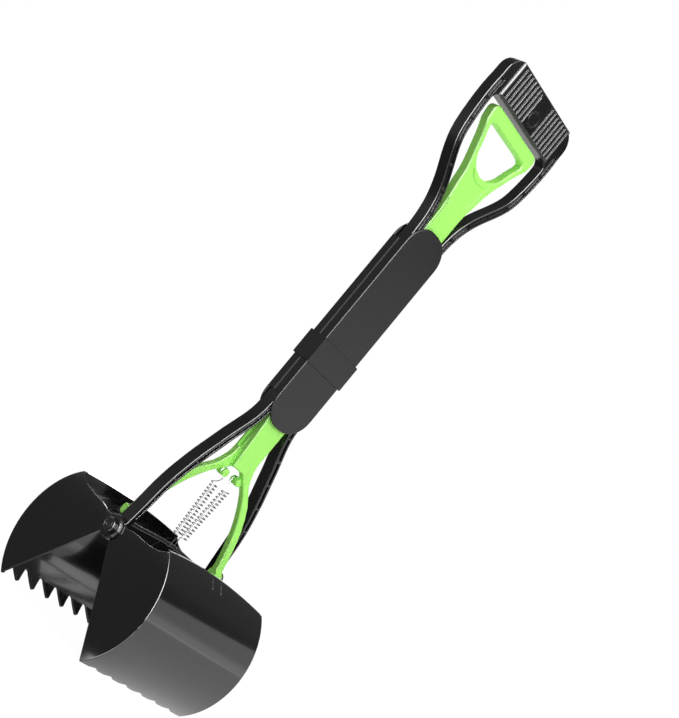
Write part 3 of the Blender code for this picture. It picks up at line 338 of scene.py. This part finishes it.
def round_edges(piece, width, which=lambda edge: True):
    """Rounds the hard edges that pass the test, except next to edges too short for the width."""
    bpy.ops.mesh.select_all(action="DESELECT")
    bpy.ops.mesh.select_mode(type="EDGE")
    mesh = bmesh.from_edit_mesh(piece.data)
    short = [edge for edge in mesh.edges if edge.calc_length() < LEAST_EDGE * width]
    tight = {end for edge in short for end in edge.verts}
    for edge in mesh.edges:
        hard = edge.is_manifold and edge.calc_face_angle() > SHARP
        edge.select = hard and tight.isdisjoint(edge.verts) and which(edge)
    bmesh.update_edit_mesh(piece.data)
    bpy.ops.mesh.bevel(
        offset=width, segments=ROUND_STEPS, affect="EDGES", clamp_overlap=False, loop_slide=False)
    bpy.ops.mesh.select_mode(type="FACE")


def fin_edge(edge):
    """Whether an edge runs along a fin on the front or the rear of the grip."""
    start, end = (vertex.co for vertex in edge.verts)
    off_face = min(abs(start.y), abs(end.y)) > GRIP_FACE_Y
    return off_face and abs(start.x - end.x) < WELD and edge.calc_length() > FIN_LENGTH


def smooth(piece):
    """Shades the rounded edges smoothly and keeps the flat faces flat."""
    if piece.mode == "EDIT":
        bpy.ops.object.mode_set(mode="OBJECT")
    bpy.ops.object.select_all(action="DESELECT")
    piece.select_set(True)
    bpy.context.view_layer.objects.active = piece
    bpy.ops.object.shade_smooth_by_angle(angle=SHARP)
    flats = piece.modifiers.new("flat faces stay flat", "WEIGHTED_NORMAL")
    flats.keep_sharp = True
    bpy.ops.object.modifier_apply(modifier=flats.name)


def finish(piece, material, body, slot, *cad_nodes):
    """Shades a piece, gives it its material and body, and puts it in place of its CAD nodes."""
    smooth(piece)
    piece.data.materials.clear()
    piece.data.materials.append(material)
    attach(piece, body)
    if cad_nodes:
        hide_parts(*cad_nodes)


def noise(place, scale, detail):
    """A cloudy pattern from 0 to 1."""
    sockets = {"Vector": place, "Scale": scale, "Detail": detail}
    return place.tree.node("ShaderNodeTexNoise", {}, sockets)


def ramp(value, start, end):
    """Goes evenly from 0 to 1 while the value goes from start to end."""
    sockets = {"Value": value, "From Min": start, "From Max": end}
    return value.tree.node("ShaderNodeMapRange", {}, sockets)


def blend(share, colour, other):
    """The first colour where the share is 0, the other one where it is 1."""
    sockets = {"Factor": share, MIX_COLOURS[0]: colour, MIX_COLOURS[1]: other}
    return share.tree.node("ShaderNodeMix", {"data_type": "RGBA"}, sockets, MIX_RESULT)


def moulded(name, colour, worn_and_highlight, roughness, spread, grain, grain_scale, wave,
            coat=0.0, gloss=0.5, seam=0.0):
    """A moulded plastic: its gloss drifts, its skin has a fine grain and a slow wave from the
    mould, short scuffs catch the light, and its edges are painted a little paler, partly as wear
    and partly as a painted highlight. Grime dulls a seam along y = 0, as far out as seam says,
    and keeps the paler edge off it."""
    material = bpy.data.materials.new(name)
    tree = Tree(material)
    place = tree.node("ShaderNodeTexCoord", {}, {}, "Object")
    drift = noise(place, DRIFT_SCALE, detail=3.0)
    skin = noise(place, grain_scale, detail=2.0)
    slow = noise(place, WAVE_SCALE, detail=1.0)
    stretched = tree.node("ShaderNodeMapping", {}, {
        "Vector": place, "Rotation": SCUFF_TURN, "Scale": SCUFF_STRETCH})
    scuffs = ramp(noise(stretched, SCUFF_SCALE, detail=2.0), *SCUFF_SPAN)
    flat = tree.node("ShaderNodeNewGeometry", {}, {}, "Normal")
    softened = tree.node("ShaderNodeBevel", {"samples": 4}, {"Radius": EDGE_WEAR_AND_HIGHLIGHT_REACH})
    # Edges turn paler here, partly as wear and partly as a painted highlight
    rubbed_and_highlit = ramp(flat.dot(softened), *EDGE_WEAR_AND_HIGHLIGHT_SPAN)
    patchy = ramp(drift, *PATCH_SPAN)
    off_seam = tree.node("ShaderNodeSeparateXYZ", {}, [place], "Y").maths("ABSOLUTE")
    grime = ramp(off_seam, seam, seam * GRIME_EDGE)
    worn_and_highlight_share = rubbed_and_highlit * (EDGE_WEAR_AND_HIGHLIGHT_LEAST + patchy * (1 - EDGE_WEAR_AND_HIGHLIGHT_LEAST)) * (1 - grime)
    height = skin * grain + slow * wave - scuffs * SCUFF_DEPTH
    bump = tree.node("ShaderNodeBump", {}, {
        "Height": height, "Strength": 1.0, "Distance": BUMP_UNIT})
    dullness = roughness - spread / 2 + drift * spread
    dullness = dullness + scuffs * SCUFF_ROUGHNESS + grime * GRIME_ROUGHNESS
    shader = tree.node("ShaderNodeBsdfPrincipled", {}, {
        "Base Color": blend(worn_and_highlight_share, colour, worn_and_highlight), "Roughness": dullness, "Normal": bump,
        "Specular IOR Level": gloss, "Coat Weight": coat, "Coat Roughness": COAT_ROUGHNESS})
    tree.node("ShaderNodeOutputMaterial", {}, {"Surface": shader})
    return material


nylon = moulded(
    "black nylon", colour=(0.007, 0.007, 0.0073, 1), worn_and_highlight=(0.10, 0.10, 0.10, 1),
    roughness=0.21, spread=0.06, grain=0.0012, grain_scale=1500.0, wave=0.05)
handle = duplicate("handle_frame", "d_handle")
round_edges(handle, FIN_ROUND, fin_edge)
round_edges(handle, HANDLE_EDGE)
finish(handle, nylon, "frame", "gloss_black", "handle_frame")


# The shaft's covers
# Four shells of ABS with a spark-eroded satin face, closed over the rails of the two frames from
# front and rear, with a fine parting line between them at the sides.
COVER_ROUND = 0.0005
PARTING_GRIME = 0.0012
SATIN = {
    "colour": (0.006, 0.006, 0.0063, 1), "worn_and_highlight": (0.03, 0.03, 0.03, 1), "roughness": 0.36,
    "spread": 0.06, "grain": 0.02, "grain_scale": 2600.0, "wave": 0.03, "gloss": 0.38}


def off_parting(edge):
    """Whether an edge lies off the parting line, whose edges stay crisp."""
    return max(abs(end.co.y) for end in edge.verts) > COVER_ROUND


satin = moulded("satin black covers", **SATIN, seam=PARTING_GRIME)
for half in ("upper", "lower"):
    for face in ("front", "rear"):
        cover = duplicate(f"{half}_{face}_cover", f"{half}_{face}_shell")
        round_edges(cover, COVER_ROUND, off_parting)
        finish(cover, satin, "frame", "satin_black", f"{half}_{face}_cover")


# The lower arms
# One nylon moulding too: two channelled arms that bow out to the hinge eyes, with the web and the
# rails that are caught between the covers.
LOWER_ARM_EDGE = 0.0004

arms = duplicate("lower_frame", "lower_arms")
round_edges(arms, LOWER_ARM_EDGE)
finish(arms, nylon, "frame", "gloss_black", "lower_frame")


# The collar
# A moulded ABS sleeve in the covers' satin black, with no seam. It slides over the joint of the
# two shafts.
COLLAR_ROUND = 0.0004

sleeve = moulded("satin black sleeve", **SATIN)
collar = duplicate("locking_collar", "collar")
round_edges(collar, COLLAR_ROUND)
finish(collar, sleeve, "collar", "satin_black", "locking_collar")


# The jaws
# Two scoops of polished black polypropylene, injected at the back of the shell: the front one
# with a scalloped lip, the rear one with six rake teeth. Each has ears, a lug and a slot.
JAW_ROUND = 0.0005
CORNER_ROUND = 0.0010
SHELL_CENTRE = (-0.0277, 0.0633)
SHELL_RADIUS = 0.0806
SHELL_SKIN = 0.0012
END_PLATE_X = 0.076
CORNER_PLAY = 0.0002
SCOOPS = (
    ("front_jaw", "scalloped_scoop", "front_scoop"),
    ("rear_jaw", "toothed_scoop", "rear_scoop"),
)


def shell_corner(edge):
    """Whether an edge runs along the outside of the shell, where it meets an end plate."""
    start, end = (vertex.co for vertex in edge.verts)
    middle = (start + end) / 2
    reach = math.hypot(abs(middle.y) + SHELL_CENTRE[0], middle.z - SHELL_CENTRE[1])
    outside = reach > SHELL_RADIUS - SHELL_SKIN
    return outside and abs(middle.x) > END_PLATE_X and abs(start.x - end.x) < CORNER_PLAY


polished = moulded(
    "polished black jaws", colour=(0.008, 0.008, 0.0085, 1), worn_and_highlight=(0.12, 0.12, 0.12, 1),
    roughness=0.13, spread=0.05, grain=0.0015, grain_scale=1500.0, wave=0.10, coat=0.5)
for node, name, body in SCOOPS:
    scoop = duplicate(node, name)
    round_edges(scoop, CORNER_ROUND, shell_corner)
    round_edges(scoop, JAW_ROUND)
    finish(scoop, polished, body, "gloss_black", node)


# The hinge pins and their clips
# A headed acetal pin goes in from each side through ear and foot, and a ring inside holds it. The
# head has a rounded rim, a sunk ring and a small boss left by the mould's gate.
PIN_X = (0.0658, 0.0858)
PIN_SIDES = 64
PIN_HEAD_RADIUS = 0.0076
PIN_HEAD_HEIGHT = 0.0032
PIN_HEAD_ROUND = 0.0011
PIN_HEAD_STEPS = 5
PIN_RADIUS = 0.004
PIN_EDGE = 0.0001
CLIP_EDGE = 0.0003

# From the rim of the head inwards: how wide each ring is, and how far the next face rises
PIN_HEAD_RINGS = ((0.0010, -0.0007), (0.0012, 0.0004), (0.0018, -0.0006), (0.0007, 0.0004))

# How closely a face looks along a direction to count as facing it, roughly or exactly
FACING = 0.9
FACING_SQUARE = 0.999
FACE_PLAY = 0.0001


def select_faces(piece, test):
    """Selects the faces whose centre and normal pass the test."""
    bpy.ops.mesh.select_all(action="DESELECT")
    mesh = bmesh.from_edit_mesh(piece.data)
    for face in mesh.faces:
        face.select = test(face.calc_center_median(), face.normal)
    mesh.select_flush_mode()
    bmesh.update_edit_mesh(piece.data)


def push(way):
    """Extrudes the selected faces along the vector way."""
    bpy.ops.mesh.extrude_region_move(TRANSFORM_OT_translate={"value": way})


for name, side in (("left", -1), ("right", 1)):
    bpy.ops.object.select_all(action="DESELECT")
    middle = side * (PIN_X[1] - PIN_HEAD_HEIGHT / 2)
    bpy.ops.mesh.primitive_cylinder_add(
        vertices=PIN_SIDES, radius=PIN_HEAD_RADIUS, depth=PIN_HEAD_HEIGHT,
        location=(middle, 0, HINGE_HEIGHT), rotation=(0, side * math.pi / 2, 0))
    pin = bpy.context.object
    pin.name = f"pin_{name}"
    bpy.ops.object.transform_apply()
    bpy.ops.object.mode_set(mode="EDIT")
    out = Vector((side, 0, 0))
    select_faces(pin, lambda centre, normal: normal.dot(out) > FACING)
    bpy.ops.mesh.bevel(offset=PIN_HEAD_ROUND, segments=PIN_HEAD_STEPS, affect="EDGES")
    select_faces(pin, lambda centre, normal: (
        normal.dot(out) > FACING_SQUARE and centre.x * side > PIN_X[1] - FACE_PLAY))
    for ring_width, ring_rise in PIN_HEAD_RINGS:
        bpy.ops.mesh.inset(thickness=ring_width)
        push(ring_rise * out)
    select_faces(pin, lambda centre, normal: normal.dot(out) < -FACING)
    bpy.ops.mesh.inset(thickness=PIN_HEAD_RADIUS - PIN_RADIUS)
    push(-(PIN_X[1] - PIN_HEAD_HEIGHT - PIN_X[0]) * out)
    round_edges(pin, PIN_EDGE)
    finish(pin, polished, "frame", "gloss_black", f"hinge_pin_{name}")

    ring = duplicate(f"hinge_clip_{name}", f"clip_{name}")
    round_edges(ring, CLIP_EDGE)
    finish(ring, sleeve, "frame", "satin_black", f"hinge_clip_{name}")


# The trigger
# Lime green polypropylene, a finger loop on a flat stem, with a shallow pocket where the stem
# spreads into the loop.
TRIGGER_ROUND = 0.0005

lime = moulded(
    "lime green", colour=(0.40, 0.96, 0.155, 1), worn_and_highlight=(0.50, 1.0, 0.25, 1),
    roughness=0.42, spread=0.08, grain=0.002, grain_scale=1500.0, wave=0.03, gloss=0.3)
trigger = duplicate("trigger", "finger_trigger")
round_edges(trigger, TRIGGER_ROUND)
finish(trigger, lime, "pull", "lime_green", "trigger")


# The pull fork
# The same green plastic: two bowed legs, each ending in a peg whose oblong head, dimpled by its
# ejector pin, slides in the slot of a jaw's lug.
FORK_ROUND = 0.0003
PEG_FACE_X = 0.0680
DIMPLE_RIM = 0.0024
DIMPLE_SLOPE = 0.0004
DIMPLE_DEPTH = 0.0005

fork = duplicate("pull_fork", "fork")
select_faces(fork, lambda centre, normal: abs(centre.x) > PEG_FACE_X and abs(normal.x) > FACING)
bpy.ops.mesh.inset(thickness=DIMPLE_RIM)
bpy.ops.mesh.inset(thickness=DIMPLE_SLOPE, depth=-DIMPLE_DEPTH)
round_edges(fork, FORK_ROUND)
finish(fork, lime, "pull", "lime_green", "pull_fork")


# The spring bar and the springs
# The bar is arched black nylon. Each spring is hard-drawn wire, close to straight, that hooks
# under the bar and over a knob of the fork.
BAR_END = 0.0705
BAR_RADIUS = 0.0018
BAR_SIDES = 24
BAR_HALF_STEPS = 12
BAR_OVER_HINGE = 0.0125
BAR_ARCH = 0.0044
WIRE_RADIUS = 0.0005
WIRE_SIDES = 8
COIL_RADIUS = 0.004
COIL_LOW = 0.1348
COIL_HIGH = 0.1978
COIL_TURNS = 16.5
TURN_POINTS = 8
SPRING_LOW_X = 0.0054
SPRING_HIGH_X = 0.0098
KNOB = (0.0122, 0.0025, 0.2118)
LOW_HOOK = 0.0026
LOW_HOOK_FROM = 0.85 * math.pi
LOW_HOOK_STEPS = 7
HIGH_HOOK = 0.0045
HIGH_HOOK_TO = -0.125 * math.pi
HIGH_HOOK_STEPS = 8

# The finish of the wire: the fine marks of drawing it, and how its oil film dulls it
BRIGHT_WIRE = (0.26, 0.26, 0.27, 1)
DARK_WIRE = (0.10, 0.10, 0.105, 1)
DRAWN_SCALE = 900.0
DRAWN_STRENGTH = 0.4
DRAWN_DEPTH = 0.00005
OIL_SCALE = 120.0
WIRE_ROUGHNESS = 0.22
OIL_ROUGHNESS = 0.2


def bar_height(x):
    """The height of the bar's middle line at a place across the tool."""
    return HINGE_HEIGHT + BAR_OVER_HINGE + BAR_ARCH * (1 + math.cos(math.pi * x / BAR_END)) / 2


def rod(name, points, radius, sides):
    """A round rod along a smooth line, closed at both ends."""
    line = bpy.data.curves.new(name, "CURVE")
    line.dimensions = "3D"
    line.bevel_depth = radius
    line.bevel_resolution = sides // 4
    line.use_fill_caps = True
    strand = line.splines.new("NURBS")
    strand.points.add(len(points) - 1)
    for point, place in zip(strand.points, points):
        point.co = (*place, 1)
    strand.order_u = 4
    strand.use_endpoint_u = True
    strand.resolution_u = 3
    piece = bpy.data.objects.new(name, line)
    bpy.context.scene.collection.objects.link(piece)
    bpy.ops.object.select_all(action="DESELECT")
    piece.select_set(True)
    bpy.context.view_layer.objects.active = piece
    bpy.ops.object.convert(target="MESH")
    return bpy.context.object


def arc(centre, radius, start, end, steps, place):
    """Points round part of a circle; place turns the two flat coordinates into a point."""
    angles = [start + (end - start) * i / steps for i in range(steps + 1)]
    return [place(centre[0] + radius * math.cos(angle), centre[1] + radius * math.sin(angle))
            for angle in angles]


along_bar = [BAR_END * (i / BAR_HALF_STEPS - 1) for i in range(2 * BAR_HALF_STEPS + 1)]
bar = rod("arched_bar", [(x, 0, bar_height(x)) for x in along_bar], BAR_RADIUS, BAR_SIDES)
finish(bar, nylon, "frame", "gloss_black", "spring_bar")

steel = bpy.data.materials.new("oiled spring wire")
tree = Tree(steel)
place = tree.node("ShaderNodeTexCoord", {}, {}, "Object")
drawn = noise(place, DRAWN_SCALE, detail=2.0)
dull = noise(place, OIL_SCALE, detail=2.0)
bump = tree.node("ShaderNodeBump", {}, {
    "Height": drawn, "Strength": DRAWN_STRENGTH, "Distance": DRAWN_DEPTH})
shader = tree.node("ShaderNodeBsdfPrincipled", {}, {
    "Base Color": blend(dull, DARK_WIRE, BRIGHT_WIRE), "Metallic": 1.0,
    "Roughness": WIRE_ROUGHNESS + dull * OIL_ROUGHNESS, "Normal": bump})
tree.node("ShaderNodeOutputMaterial", {}, {"Surface": shader})

# The smooth line runs inside its points, so they stand on a wider circle than the coil
curl = COIL_RADIUS / (2 / 3 + math.cos(2 * math.pi / TURN_POINTS) / 3)
points = arc((0, bar_height(SPRING_LOW_X)), LOW_HOOK, LOW_HOOK_FROM, 2 * math.pi, LOW_HOOK_STEPS,
             lambda y, z: (SPRING_LOW_X, y, z))
points.append((SPRING_LOW_X, LOW_HOOK, COIL_LOW - COIL_RADIUS))
for i in range(round(COIL_TURNS * TURN_POINTS) + 1):
    share = i / (COIL_TURNS * TURN_POINTS)
    angle = math.pi / 2 - 2 * math.pi * i / TURN_POINTS
    points.append((SPRING_LOW_X + (SPRING_HIGH_X - SPRING_LOW_X) * share + curl * math.cos(angle),
                   curl * math.sin(angle), COIL_LOW + (COIL_HIGH - COIL_LOW) * share))
points.append((KNOB[0] - HIGH_HOOK, KNOB[1], COIL_HIGH + COIL_RADIUS))
points += arc((KNOB[0], KNOB[2]), HIGH_HOOK, math.pi, HIGH_HOOK_TO, HIGH_HOOK_STEPS,
              lambda x, z: (x, KNOB[1], z))
for name, side in (("right", 1), ("left", -1)):
    turned = [(side * x, side * y, z) for x, y, z in points]
    spring = rod(f"pull_spring_{name}", turned, WIRE_RADIUS, WIRE_SIDES)
    finish(spring, steel, "frame", "spring_steel", f"spring_{name}")
    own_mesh(spring)


# The screws and the link pin
# Blackened self-tapping screws, their pan heads sunk in the rear covers, with a round socket, and
# the plain steel pin that goes across the shaft from trigger to fork.
SCREW_EDGE = 0.0002
LINK_EDGE = 0.0003

for half in ("upper", "lower"):
    for name in ("left", "right"):
        screw = duplicate(f"{half}_screw_{name}", f"{half}_cover_screw_{name}")
        round_edges(screw, SCREW_EDGE)
        finish(screw, steel, "frame", "spring_steel", f"{half}_screw_{name}")

link = duplicate("link_pin", "link")
round_edges(link, LINK_EDGE)
finish(link, steel, "pull", "spring_steel", "link_pin")


# The ribs on the front scoop
# Two short ribs of the scoop's own plastic that stiffen the shell under its upper edge, moulded
# with it.
RIB_X = 0.007
RIB_FROM = math.radians(54.5)
RIB_TO = math.radians(45.5)
RIB_RADIUS = 0.0009
RIB_SIDES = 16
RIB_STEPS = 8
RIB_SUNK = 0.0002

for name, side in (("left", -1), ("right", 1)):
    points = arc((0, 0), SHELL_RADIUS - RIB_SUNK, RIB_FROM, RIB_TO, RIB_STEPS,
                 lambda y, z: (side * RIB_X, SHELL_CENTRE[0] - y, SHELL_CENTRE[1] + z))
    rib = rod(f"scoop_rib_{name}", points, RIB_RADIUS, RIB_SIDES)
    finish(rib, polished, "front_scoop", "gloss_black")
